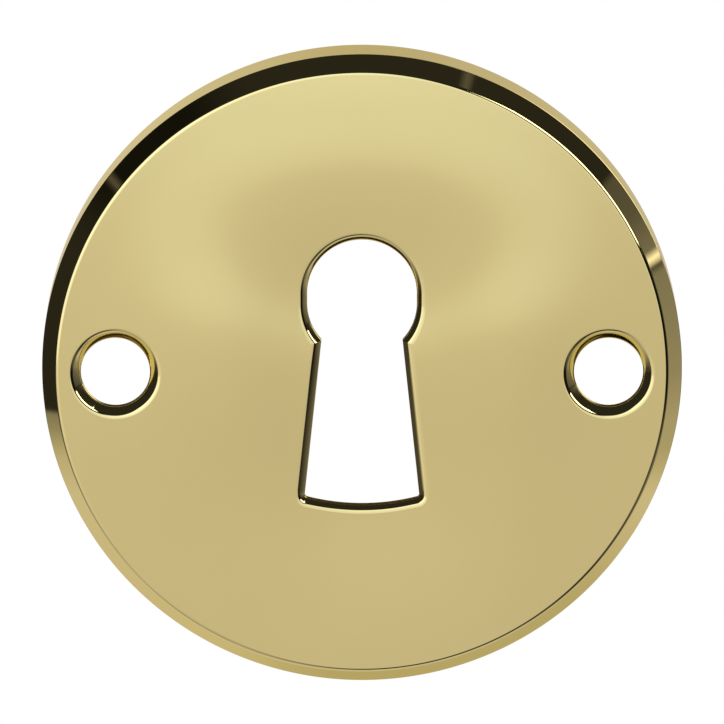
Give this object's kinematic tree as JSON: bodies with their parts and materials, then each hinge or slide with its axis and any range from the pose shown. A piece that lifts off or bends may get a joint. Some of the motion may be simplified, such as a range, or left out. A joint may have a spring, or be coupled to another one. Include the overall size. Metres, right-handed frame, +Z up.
{
  "type": "keyhole escutcheon",
  "caption": "Round flat metal plate with a bevelled rim and screw holes beside a keyhole, fixed over a lock's key opening to cover and protect its edge.",
  "frame": {"origin": "centre of the disc, on the plane where the rim meets the door", "axes": "+Z up the keyhole towards its round end, -Y out of the door towards whoever holds the key, +X to the right as seen from the front"},
  "size_m": [0.05, 0.006, 0.05],
  "materials": {
    "polished_brass": "polished to a mirror, with fine wiping scratches"
  },
  "bodies": {
    "root": {"escutcheon_plate": "polished_brass"}
  },
  "joints": []
}
